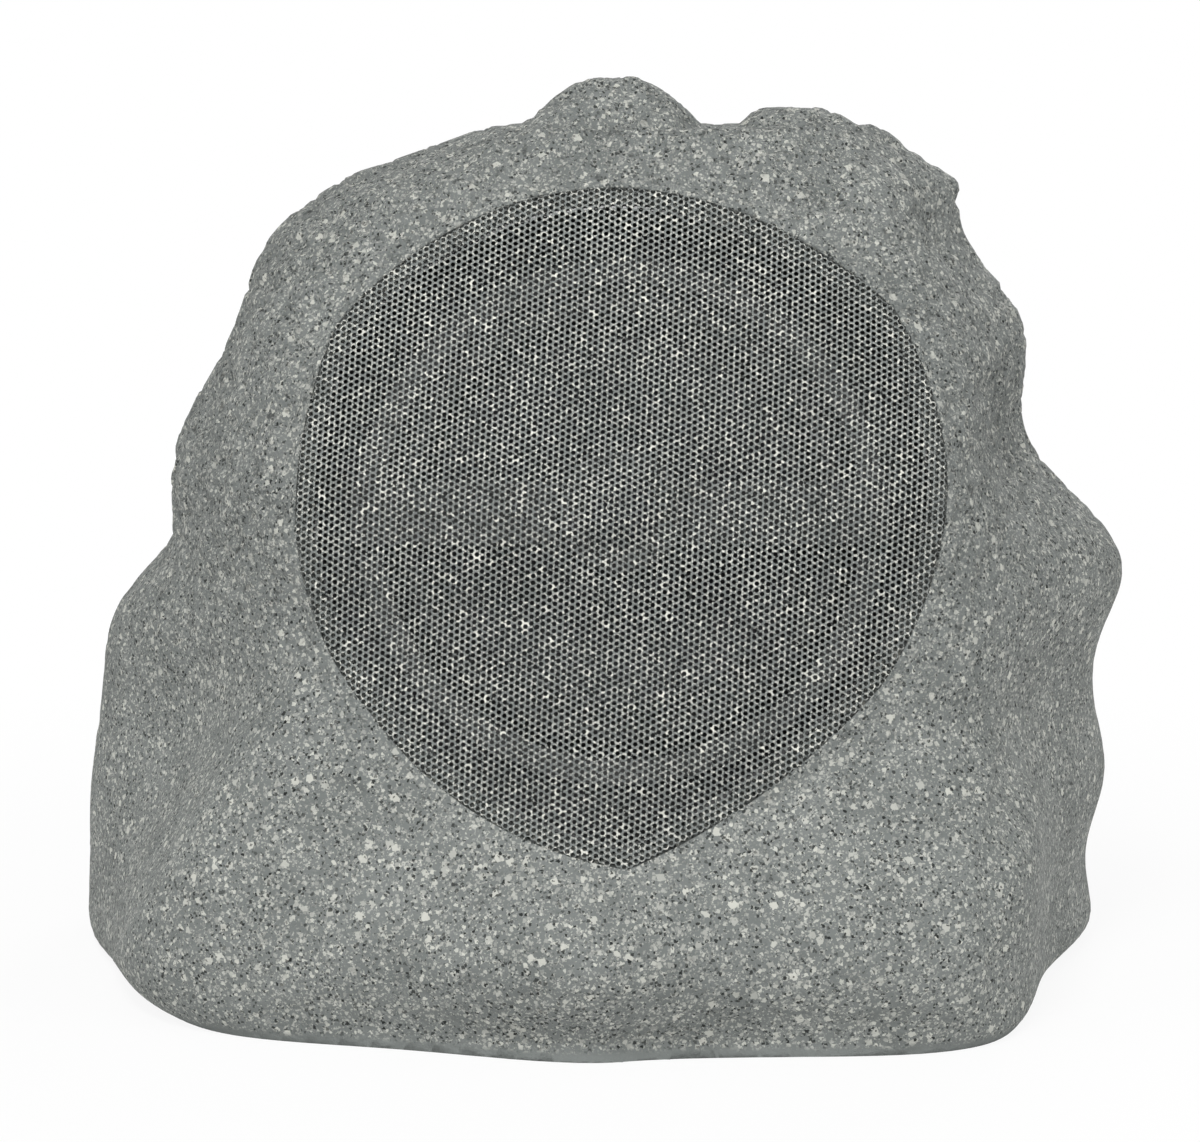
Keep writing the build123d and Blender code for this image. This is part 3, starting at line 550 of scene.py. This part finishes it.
def perforation_tree():
    """Geometry Nodes for a flat sheet of staggered holes inside an outline."""
    tree = bpy.data.node_groups.new("staggered_perforation", "GeometryNodeTree")
    inputs = [
        ("Outline", "NodeSocketObject"), ("Pitch", "NodeSocketFloat"), ("Hole", "NodeSocketFloat"),
        ("Sheet", "NodeSocketFloat"), ("Turn", "NodeSocketFloat"), ("Join", "NodeSocketFloat"),
        ("Side", "NodeSocketFloat"), ("Columns", "NodeSocketInt"), ("Rows", "NodeSocketInt"),
        ("Coat", "NodeSocketMaterial"),
    ]
    for name, kind in inputs:
        tree.interface.new_socket(name, in_out="INPUT", socket_type=kind)
    tree.interface.new_socket("Perforated sheet", in_out="OUTPUT", socket_type="NodeSocketGeometry")
    g = Board(tree)
    given = g.node("NodeGroupInput")
    pitch = given.beside("Pitch")
    columns = given.beside("Columns")
    rows = given.beside("Rows")
    lane = pitch * (math.sqrt(3) / 2)

    grid_sockets = {
        "Size X": (columns - 1) * lane, "Size Y": (rows - 1) * pitch, "Vertices X": columns, "Vertices Y": rows,
    }
    grid = g.node("GeometryNodeMeshGrid", None, grid_sockets, "Mesh")
    place = g.node("GeometryNodeInputPosition")
    across = g.node("ShaderNodeSeparateXYZ", None, {0: place})
    lane_number = across.maths("ROUND", (across + (columns - 1) * lane * 0.5) / lane)
    stagger = lane_number.maths("MODULO", lane_number, 2.0) * pitch * 0.5
    shift = g.node("ShaderNodeCombineXYZ", None, {"Y": stagger})
    staggered = g.node("GeometryNodeSetPosition", None, {"Geometry": grid, "Offset": shift})
    turn = g.node("ShaderNodeCombineXYZ", None, {"Z": given.beside("Turn")})
    turned = g.node("GeometryNodeTransform", None, {"Geometry": staggered, "Rotation": turn})

    shape = g.node("GeometryNodeObjectInfo", None, {"Object": given.beside("Outline")}, "Geometry")
    reach = g.node("GeometryNodeProximity", {"target_element": "FACES"}, {0: shape}, "Distance")
    outside = reach.maths("GREATER_THAN", reach, 1e-6)
    up = g.node("ShaderNodeSeparateXYZ", None, {0: g.node("GeometryNodeInputPosition")}, "Y")
    elsewhere = ((up - given.beside("Join")) * given.beside("Side")).below(0.0)
    spots = g.node("GeometryNodeDeleteGeometry", {"domain": "POINT"}, {0: turned, 1: outside.most(elsewhere)})

    cell_radius = pitch * (1 / math.sqrt(3))
    narrow = given.beside("Hole") / (cell_radius * 2)
    cell = g.node("GeometryNodeMeshCircle", {"fill_type": "NGON"}, {"Vertices": 6, "Radius": cell_radius})
    rim = g.node("GeometryNodeExtrudeMesh", {"mode": "FACES"}, {"Mesh": cell, "Offset Scale": 0.0})
    ring = {"Geometry": rim, "Selection": rim.beside("Top"), "Scale": narrow}
    front = g.node("GeometryNodeScaleElements", {"domain": "FACE"}, ring)
    bore_sockets = {"Mesh": front, "Selection": rim.beside("Top"), "Offset Scale": 0.0 - given.beside("Sheet")}
    bore = g.node("GeometryNodeExtrudeMesh", {"mode": "FACES"}, bore_sockets)
    back_sockets = {"Mesh": bore, "Selection": bore.beside("Top"), "Offset Scale": 0.0}
    back = g.node("GeometryNodeExtrudeMesh", {"mode": "FACES"}, back_sockets)
    spread = {"Geometry": back, "Selection": back.beside("Top"), "Scale": 1 / narrow}
    wide = g.node("GeometryNodeScaleElements", {"domain": "FACE"}, spread)
    tile = g.node("GeometryNodeDeleteGeometry", {"domain": "FACE"}, {0: wide, 1: back.beside("Top")})

    laid = g.node("GeometryNodeInstanceOnPoints", None, {"Points": spots, "Instance": tile, "Rotation": turn})
    real = g.node("GeometryNodeRealizeInstances", None, {"Geometry": laid})
    joined = g.node("GeometryNodeMergeByDistance", None, {"Geometry": real, "Distance": pitch * 0.02})
    coated = g.node("GeometryNodeSetMaterial", None, {"Geometry": joined, "Material": given.beside("Coat")})
    g.node("NodeGroupOutput", None, {0: coated})
    return tree


def perforated_half(name, tree, outline_plate, side, coat, back_painted_shade):
    """Upper or lower half of the sheet as one closed mesh, pressed to the rock's front and coated on it; its
    back and hole walls get near-black painted shade.
    """
    carrier = plain_object(name + "_carrier", bpy.data.meshes.new(name + "_carrier"))
    press = carrier.modifiers.new("perforation", "NODES")
    press.node_group = tree
    values = {
        "Outline": outline_plate, "Pitch": PITCH, "Hole": HOLE, "Sheet": SHEET, "Turn": LATTICE_TURN,
        "Join": SHEET_JOIN, "Side": side, "Columns": 129, "Rows": 117, "Coat": coat,
    }
    for item in tree.interface.items_tree:
        if item.in_out == "INPUT":
            press[item.identifier] = values[item.name]
    bpy.context.view_layer.update()
    seen = carrier.evaluated_get(bpy.context.evaluated_depsgraph_get())
    mesh = bpy.data.meshes.new_from_object(seen)
    bpy.data.objects.remove(carrier)
    mesh.name = name

    rim = bmesh.new()
    rim.from_mesh(mesh)
    below = {}
    for corner in rim.verts:
        if corner.co.z < -SHEET / 2:
            below[(round(corner.co.x, 6), round(corner.co.y, 6))] = corner
    for edge in [e for e in rim.edges if e.is_boundary and all(v.co.z > -SHEET / 2 for v in e.verts)]:
        turnwise = edge.link_loops[0]
        first, second = turnwise.vert, turnwise.link_loop_next.vert
        low_first = below.get((round(first.co.x, 6), round(first.co.y, 6)))
        low_second = below.get((round(second.co.x, 6), round(second.co.y, 6)))
        if low_first and low_second:
            rim.faces.new((second, first, low_first, low_second))
    rim.to_mesh(mesh)
    rim.free()

    flat = points_of(mesh)
    flat[:, 2] += front_height.at(flat) + crease_lift(flat[:, :2])
    mesh.vertices.foreach_set("co", from_grille(flat).ravel())
    mesh.materials.clear()
    mesh.materials.append(coat)
    mesh.materials.append(back_painted_shade)
    mesh.update()
    # Faces turned out get the coat; the back and the hole walls get the near-black painted shade
    faces_out = np.array([face.normal for face in mesh.polygons]) @ OUTWARD > 0.5
    mesh.polygons.foreach_set("material_index", np.where(faces_out, 0, 1).astype(np.int32))
    return plain_object(name, mesh)


def flat_plate(name, corners):
    mesh = bpy.data.meshes.new(name)
    mesh.from_pydata([(x, y, 0.0) for x, y in corners], [], [list(range(len(corners)))])
    return plain_object(name, mesh)


def inset(corners, amount):
    """A convex outline moved inwards."""
    ahead = np.roll(corners, -1, 0) - corners
    ahead /= np.maximum(np.linalg.norm(ahead, axis=1), 1e-12)[:, None]
    side = np.stack([-ahead[:, 1], ahead[:, 0]], 1)
    mean = side + np.roll(side, 1, 0)
    mean /= np.linalg.norm(mean, axis=1)[:, None]
    stretch = 1 / np.maximum((mean * side).sum(1), 0.5)
    return corners + mean * (amount * stretch)[:, None]


def evenly(corners, count):
    """The same outline with evenly spaced points."""
    loop = np.vstack([corners, corners[:1]])
    run = np.append(0, np.cumsum(np.hypot(*np.diff(loop, axis=0).T)))
    spots = np.linspace(0, run[-1], count, endpoint=False)
    return np.stack([np.interp(spots, run, loop[:, 0]), np.interp(spots, run, loop[:, 1])], 1)


def grille_return(coat):
    """Return behind the sheet that plugs into the well."""
    count = 160
    outer = inset(evenly(outline, count), 0.0064)
    inner = inset(evenly(outline, count), 0.0076)
    rows = []
    for ring, depth in ((outer, SHEET), (inner, SHEET), (inner, 0.0072), (outer, 0.0072)):
        level = front_height.at(ring) - depth
        rows.append(from_grille(np.column_stack([ring, level])))
    corners = np.concatenate(rows)
    faces = []
    for row in range(4):
        for step in range(count):
            a, b = row * count + step, row * count + (step + 1) % count
            c, d = ((row + 1) % 4) * count + (step + 1) % count, ((row + 1) % 4) * count + step
            faces.append((a, b, c, d))
    mesh = bpy.data.meshes.new("grille_return")
    mesh.from_pydata(corners.tolist(), [], faces)
    mesh.materials.append(coat)
    outward = bmesh.new()
    outward.from_mesh(mesh)
    bmesh.ops.recalc_face_normals(outward, faces=outward.faces)
    outward.to_mesh(mesh)
    outward.free()
    return plain_object("grille_return", mesh)


# Rock

LEFT_RIDGE = [(-111, 139), (-117, 127), (-136, 106), (-151, 82), (-165, 58), (-178, 34), (-191, 9)]
RIGHT_RIDGE = [(149, 106), (142, 89), (137, 73), (136, 57), (138, 39), (140, 19), (141, 0)]
APRON_EDGE = [(14, 66), (36, 76), (62, 88), (91, 102), (117, 106), (145, 106)]
TOP_CREASE = [(104, 308), (114, 303), (124, 298), (132, 290)]
PITS = [
    (65, 310, 5), (-95, 94, 6), (-89, 93, 4), (-125, 204, 6), (108, 134, 6), (131, 230, 6), (149, 236, 5),
    (-30, 320, 4), (20, 326, 4), (88, 306, 4), (-118, 262, 5), (-150, 160, 5), (165, 190, 5), (-60, 300, 4),
]


def line_sides(x, z, line):
    """Distance to a bent line on the front, and the side of it, positive to the right of its run."""
    nearest = np.full(len(x), 1e9)
    side = np.zeros(len(x))
    for (ax, az), (bx, bz) in zip(line, line[1:]):
        dx, dz = bx - ax, bz - az
        length = math.hypot(dx, dz)
        share = np.clip(((x - ax) * dx + (z - az) * dz) / length**2, 0, 1)
        away = np.hypot(x - ax - share * dx, z - az - share * dz)
        nearer = away < nearest
        nearest = np.where(nearer, away, nearest)
        side = np.where(nearer, ((z - az) * dx - (x - ax) * dz) / length, side)
    return nearest, side


def rock_relief(points, normals):
    """Depth of the moulded relief below the lofted rock, in metres."""
    x, y, z = (points * 1000).T
    front = smooth(-normals[:, 1], 0.05, 0.35)
    upper = smooth(z, 95, 200)
    flank = smooth(x, 142, 168) * (1 - smooth(z, 150, 190))
    rough = (0.4 + 0.6 * upper) * (1 - 0.75 * flank)
    lumps = np.empty(len(points))
    chips = np.empty(len(points))
    pores = np.empty(len(points))
    for row, point in enumerate(points * 1000):
        spot = Vector(point)
        lumps[row] = noise.fractal(spot / 34, 0.9, 2.1, 3)
        near = noise.voronoi(spot / 19 + Vector((3, 7, 1)), distance_metric="DISTANCE")[0]
        chips[row] = near[1] - near[0]
        pores[row] = noise.fractal(spot / 7.5, 0.8, 2.0, 2)
    depth = 1.0 * np.clip(0.6 - lumps, 0, 1.8) * rough
    depth += 1.6 * (1 - smooth(chips, 0.0, 0.24)) * rough * (0.25 + 0.75 * upper)
    depth += 2.4 * smooth(pores, 0.08, 0.5) * rough
    for line, reach, drop, turn in ((LEFT_RIDGE, 38, 5.5, 1), (RIGHT_RIDGE, 26, 3.4, -1)):
        away, side = line_sides(x, z, line)
        step = np.where(side * turn < 0, 1.0, 0.0)
        depth += front * step * drop * smooth(away, 0, 5) * (1 - smooth(away, 0.3 * reach, reach))
    away, side = line_sides(x, z, APRON_EDGE)
    depth += front * np.where(side > 0, 1.0, 0.0) * 2.8 * smooth(away, 0, 5) * (1 - smooth(away, 8, 24))
    away, side = line_sides(x, z, TOP_CREASE)
    depth += front * 2.6 * (1 - smooth(away, 0, 4))
    for pit_x, pit_z, size in PITS:
        away = np.hypot(x - pit_x, z - pit_z)
        depth += front * 3.0 * (1 - smooth(away, 0.2 * size, size))
    return DEEPEST * np.tanh(0.8 * depth / 1000 / DEEPEST)


def cube_ball(cells):
    """Even directions all round, as the corners and faces of a blown-up cube."""
    steps = np.tan(np.linspace(-math.pi / 4, math.pi / 4, cells + 1))
    across, along = np.meshgrid(steps, steps, indexing="ij")
    one = np.ones_like(across)
    sides = [
        (one, across, along), (-one, along, across), (along, one, across),
        (across, -one, along), (across, along, one), (along, across, -one),
    ]
    corners = np.concatenate([np.stack([a.ravel() for a in side], 1) for side in sides])
    corners /= np.linalg.norm(corners, axis=1)[:, None]
    _, kept, place = np.unique(np.round(corners, 6), axis=0, return_index=True, return_inverse=True)
    place = place.ravel()
    grid = np.arange((cells + 1) ** 2).reshape(cells + 1, cells + 1)
    quads = np.stack([grid[:-1, :-1], grid[1:, :-1], grid[1:, 1:], grid[:-1, 1:]], -1).reshape(-1, 4)
    faces = np.concatenate([quads + side * (cells + 1) ** 2 for side in range(6)])
    return corners[kept], place[faces]


def rock_skin(coat):
    """The rock with its moulded relief outside and the CAD shell's hollow, well and pocket inside."""
    corners, triangles = [], []
    for node in ("rock_shell", "grille", "base_plate"):
        mesh = cad[node].data
        start = len(corners)
        corners += [tuple(v.co) for v in mesh.vertices]
        triangles += [tuple(start + corner for corner in face.vertices) for face in mesh.polygons]
    target = BVHTree.FromPolygons(corners, triangles)
    rays, faces = cube_ball(SKIN_CELLS)
    middle = Vector(SKIN_MIDDLE)
    reach = np.zeros(len(rays))
    for row, ray in enumerate(rays):
        ray = Vector(ray)
        hit = target.ray_cast(middle + ray * OUTSIDE, -ray)[0]
        reach[row] = (hit - middle).length if hit else 0.1
    start = np.array(SKIN_MIDDLE)
    points = start + rays * reach[:, None]

    # Under the grille the skin runs on as if the front were whole
    facing = rays @ OUTWARD
    guess = ((GRILLE_MIDDLE - start) @ OUTWARD) / np.maximum(facing, 0.2)
    for _ in range(5):
        own = to_grille(start + rays * guess[:, None])
        guess += (front_height.at(own) + GRILLE_RECESS - own[:, 2]) / np.maximum(facing, 0.2)
    own = to_grille(start + rays * guess[:, None])
    covered = (facing > 0.2) & (edge_distance(own[:, :2], outline) > -0.0008)
    reach = np.where(covered, guess, reach)

    # It closes the gland's pocket, and below the rim it runs on straight down: the CAD shell opens both again
    inlet = (np.hypot(points[:, 0], points[:, 2] - INLET_LEVEL) < INLET_RADIUS) & (rays[:, 1] > 0.5)
    reach = np.where(inlet, (INLET_COVER - start[1]) / np.maximum(rays[:, 1], 0.5), reach)
    below = np.zeros(len(rays), bool)
    for row in np.flatnonzero(rays[:, 2] < -0.25):
        flat = max(math.hypot(*rays[row, :2]), 1e-6)
        side = Vector((rays[row, 0] / flat, rays[row, 1] / flat, 0))
        axis = Vector((start[0], start[1], RIM_LEVEL))
        hit = target.ray_cast(axis + side * OUTSIDE, -side)[0]
        wall = (hit - axis).length / flat if hit else 1.0
        if start[2] + rays[row, 2] * wall < RIM_LEVEL:
            reach[row] = min(wall, (start[2] + UNDERGROUND) / -rays[row, 2])
            below[row] = True
    points = start + rays * reach[:, None]

    # The first row under the rim comes up to the ground, so that the foot keeps the CAD shell's outline
    foot = below & (points[:, 2] > -FOOT_ROW)
    points[foot, 2] *= FOOT_SQUEEZE
    floor = points[:, 2] < 0.0001 - UNDERGROUND

    mesh = bpy.data.meshes.new("rock_skin")
    mesh.from_pydata(points.tolist(), [], faces.tolist())
    normals = np.zeros(len(points) * 3)
    mesh.vertices.foreach_get("normal", normals)
    normals = normals.reshape(-1, 3)
    if ((points - np.array(SKIN_MIDDLE)) * normals).sum() < 0:
        mesh.flip_normals()
        normals = -normals
    level = (points[:, 2] < 0.012) & ~floor
    normals[level, 2] = 0
    normals /= np.maximum(np.linalg.norm(normals, axis=1), 1e-9)[:, None]
    own = to_grille(points)
    border = edge_distance(own[:, :2], outline)
    calm = np.where(normals @ OUTWARD > 0.2, 0.12 + 0.88 * smooth(-border, 0.0, 0.007), 1.0)
    calm *= smooth(points[:, 2], 0.002, 0.014)
    depth = SKIN_SINK + rock_relief(points, normals) * calm
    depth[floor | inlet] = 0.0
    moved = points - normals * depth[:, None]
    mesh.vertices.foreach_set("co", moved.ravel())
    mesh.update()
    skin = plain_object("rock_skin", mesh)

    shell = plain_object("rock_shell_copy", welded_copy("rock_shell"))
    cut = skin.modifiers.new("hollow", "BOOLEAN")
    cut.operation = "INTERSECT"
    cut.solver = "MANIFOLD"
    cut.object = shell
    bpy.context.view_layer.update()
    seen = skin.evaluated_get(bpy.context.evaluated_depsgraph_get())
    finished = bpy.data.meshes.new_from_object(seen)
    bpy.data.objects.remove(skin)
    bpy.data.objects.remove(shell)
    finished.name = "rock"
    finished.materials.clear()
    finished.materials.append(coat)
    finished.shade_smooth()
    finished.set_sharp_from_angle(angle=math.radians(55))
    return plain_object("rock", finished)


def ring_sectors(node, count, held, free, coat, slot):
    """A flexing ring cut into equal sectors; the held and free radii are not used."""
    whole = welded_copy(node)
    own = to_grille(points_of(whole))
    axis = from_grille((own.min(axis=0) + own.max(axis=0))[None] / 2)[0]
    half = math.pi / count
    for step in range(count):
        shape = bmesh.new()
        shape.from_mesh(whole)
        turn = 2 * half * step
        for side in (-1, 1):
            edge = turn + side * half
            away = side * (math.cos(edge) * UPWARD - math.sin(edge) * ACROSS)
            every = shape.verts[:] + shape.edges[:] + shape.faces[:]
            bmesh.ops.bisect_plane(shape, geom=every, dist=1e-7, plane_co=axis, plane_no=away, clear_outer=True)
            bmesh.ops.holes_fill(shape, edges=[e for e in shape.edges if e.is_boundary], sides=0)
        mesh = bpy.data.meshes.new(node)
        shape.to_mesh(mesh)
        shape.free()
        mesh.materials.clear()
        mesh.materials.append(coat)
        mesh.shade_smooth()
        mesh.set_sharp_from_angle(angle=math.radians(40))
        sector = plain_object(f"{node}_{step + 1:02d}", mesh)
        ray = math.cos(turn) * ACROSS + math.sin(turn) * UPWARD
        axis + held * ray
        axis + free * ray
        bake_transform(sector)
        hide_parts(node)


rock_coat = granite_coat("granite_coat")
grille_coat = granite_coat("granite_coat_on_grille", 0.85, 0.3, 1.35)

rock = rock_skin(rock_coat)
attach(rock, "housing")
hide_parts("rock_shell")

# Near-black painted shade for the back of the sheet, its hole walls and the return, which are really the same
# coated sheet
grille_back_painted_shade = stoved_paint("grille_back_painted_shade", (0.012, 0.012, 0.012, 1.0))
perforation = perforation_tree()
outline_plate = flat_plate("grille_outline", outline)
for half, side in (("grille_upper", 1.0), ("grille_lower", -1.0)):
    sheet = perforated_half(half, perforation, outline_plate, side, grille_coat, grille_back_painted_shade)
    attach(sheet, "housing")
    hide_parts("grille")
bpy.data.objects.remove(outline_plate)
# The return is given the near-black painted shade
plug = grille_return(grille_back_painted_shade)
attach(plug, "housing")
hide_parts("grille")

# Finishes of the CAD pieces, by the record's slots
colours = {row["slot"]: tuple(row["base_color"]) + (1.0,) for row in frame["record"]["materials"]}
slot_of = {row["node"]: row["material_slot"] for row in frame["record"]["subparts"]}
finishes = {
    "baffle_board": moulded_plastic("baffle_board", colours["baffle_board"], 0.8, 0.7),
    "foam": closed_foam("foam", colours["foam"]),
    "screw_steel": plain_metal("screw_steel", colours["screw_steel"], 0.25),
    "black_screw": stoved_paint("black_screw", colours["black_screw"]),
    "driver_frame": stoved_paint("driver_frame", colours["driver_frame"]),
    "soft_rubber": soft_rubber("soft_rubber", colours["soft_rubber"]),
    "cone_plastic": pulp_cone("cone_plastic", colours["cone_plastic"]),
    "former_foil": plain_metal("former_foil", colours["former_foil"], 0.22),
    "copper_wire": wound_wire("copper_wire", colours["copper_wire"]),
    "spider_cloth": woven_cloth("spider_cloth", colours["spider_cloth"]),
    "zinc_steel": plain_metal("zinc_steel", colours["zinc_steel"], 0.3, (0.4, 1.6, 1.6)),
    "ferrite": sintered_ferrite("ferrite", colours["ferrite"]),
    "magnet_plating": plain_metal("magnet_plating", colours["magnet_plating"], 0.12, (1, 1, 1)),
    "dome_silk": woven_cloth("dome_silk", colours["dome_silk"], 0.3),
    "black_plastic": moulded_plastic("black_plastic", colours["black_plastic"]),
    "base_plastic": moulded_plastic("base_plastic", colours["base_plastic"], 1.0, 0.6),
    "board_laminate": glass_laminate("board_laminate", colours["board_laminate"]),
    "film_sleeve": moulded_plastic("film_sleeve", colours["film_sleeve"], 0.15, 0.25),
    "resistor_ceramic": sintered_ferrite("resistor_ceramic", colours["resistor_ceramic"]),
    "terminal_plastic": moulded_plastic("terminal_plastic", colours["terminal_plastic"], 0.2, 0.35),
}
for node, piece in cad.items():
    slot = slot_of[node]
    if slot in finishes:
        piece.data.materials.clear()
        piece.data.materials.append(finishes[slot])

# The rings that hold the cone, cut into sectors
ring_sectors("woofer_surround", *SURROUND_BEND, finishes["soft_rubber"], "soft_rubber")
ring_sectors("woofer_spider", *SPIDER_BEND, finishes["spider_cloth"], "spider_cloth")

# Floor, light and camera
floor_mesh = bpy.data.meshes.new("studio_floor")
floor_mesh.from_pydata([(-6, -6, 0), (6, -6, 0), (6, 6, 0), (-6, 6, 0)], [], [(0, 1, 2, 3)])
studio_floor = plain_object("studio_floor", floor_mesh)
studio_floor.location.z = -0.0002


def floor_paint():
    """Pale floor that keeps the shadow near the rock and runs out into white."""
    f = Finish("studio_floor")
    seen = f.node("ShaderNodeLightPath", None, None, "Is Camera Ray")
    seen = seen.most(seen.beside("Is Glossy Ray")).most(seen.beside("Is Transmission Ray"))
    away = f.node("ShaderNodeVectorMath", {"operation": "LENGTH"}, {0: f.mm}, "Value")
    plain = f.node("ShaderNodeBsdfDiffuse", None, {"Color": (0.82, 0.82, 0.82, 1)})
    white = f.node("ShaderNodeEmission", None, {"Color": (1, 1, 1, 1), "Strength": 1.0})
    share = seen * (0.9 + 0.1 * away.rise(240, 620))
    mixed = f.node("ShaderNodeMixShader", None, {0: share, 1: plain, 2: white})
    f.node("ShaderNodeOutputMaterial", None, {"Surface": mixed})
    return f.material


floor_mesh.materials.append(floor_paint())

world = bpy.data.worlds.new("studio")
bpy.context.scene.world = world
world.use_nodes = True
sky = Board(world.node_tree)
sky.tree.nodes.clear()
seen = sky.node("ShaderNodeLightPath", None, None, "Is Camera Ray")
seen = seen.most(seen.beside("Is Glossy Ray")).most(seen.beside("Is Transmission Ray"))
soft = sky.node("ShaderNodeBackground", None, {"Color": (1, 1, 1, 1), "Strength": 0.44})
white = sky.node("ShaderNodeBackground", None, {"Color": (1, 1, 1, 1), "Strength": 1.0})
either = sky.node("ShaderNodeMixShader", None, {0: seen, 1: soft, 2: white})
sky.node("ShaderNodeOutputWorld", None, {"Surface": either})


def soft_box(name, place, aim, size, power):
    lamp = bpy.data.lights.new(name, "AREA")
    lamp.shape = "RECTANGLE"
    lamp.size, lamp.size_y = size
    lamp.energy = power
    made = bpy.data.objects.new(name, lamp)
    bpy.context.scene.collection.objects.link(made)
    made.location = place
    made.rotation_euler = (Vector(aim) - Vector(place)).to_track_quat("-Z", "Y").to_euler()


soft_box("overhead", (-0.25, -1.05, 1.5), (0, -0.05, 0.15), (0.5, 0.45), 15.5)
soft_box("front_fill", (-0.1, -2.2, 0.8), (0, -0.1, 0.17), (1.8, 1.4), 7)
soft_box("right_fill", (1.7, -1.1, 0.8), (0, -0.1, 0.17), (1.2, 1.2), 12)
soft_box("left_fill", (-1.7, -1.1, 0.8), (0, -0.1, 0.17), (1.2, 1.2), 9)
soft_box("back_fill", (0.7, 2.0, 1.3), (0, 0, 0.15), (1.0, 1.0), 18)

lens = bpy.data.cameras.new("photo_view")
lens.lens = 102.9
lens.sensor_width = 36
viewer = bpy.data.objects.new("photo_view", lens)
bpy.context.scene.collection.objects.link(viewer)
viewer.location = (0, -1.3526, 0.3692)
viewer.rotation_euler = (math.radians(81), 0, 0)
bpy.context.scene.camera = viewer
bpy.context.scene.view_settings.view_transform = "Standard"
